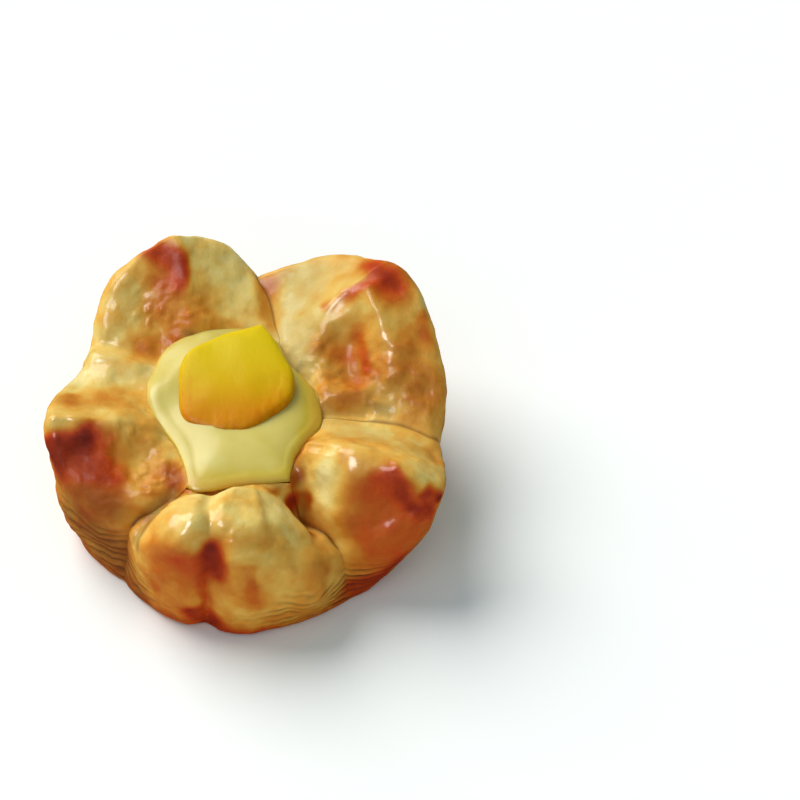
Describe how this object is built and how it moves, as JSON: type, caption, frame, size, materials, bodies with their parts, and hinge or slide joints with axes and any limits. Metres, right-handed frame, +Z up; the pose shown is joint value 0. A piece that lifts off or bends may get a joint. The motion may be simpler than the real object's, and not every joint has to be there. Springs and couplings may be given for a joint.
{
  "type": "danish pastry",
  "caption": "Puffed danish pastry of pinched petals round a pool of custard, with a peach wedge sunk in it.",
  "frame": {"origin": "centre of the flat base, on the surface that the pastry rests on", "axes": "+Z up out of the base; +X and -Y point to the right and to the front of the pastry as first seen, with its two high petals at +Y"},
  "size_m": [0.0986, 0.0973, 0.0474],
  "materials": {
    "baked_dough": "glazed golden to dark brown crust",
    "custard": "smooth pale yellow custard",
    "peach": "wet translucent yellow-orange fruit flesh"
  },
  "bodies": {
    "root": {"pastry": "baked_dough", "custard": "custard", "peach_wedge": "peach"}
  },
  "joints": []
}
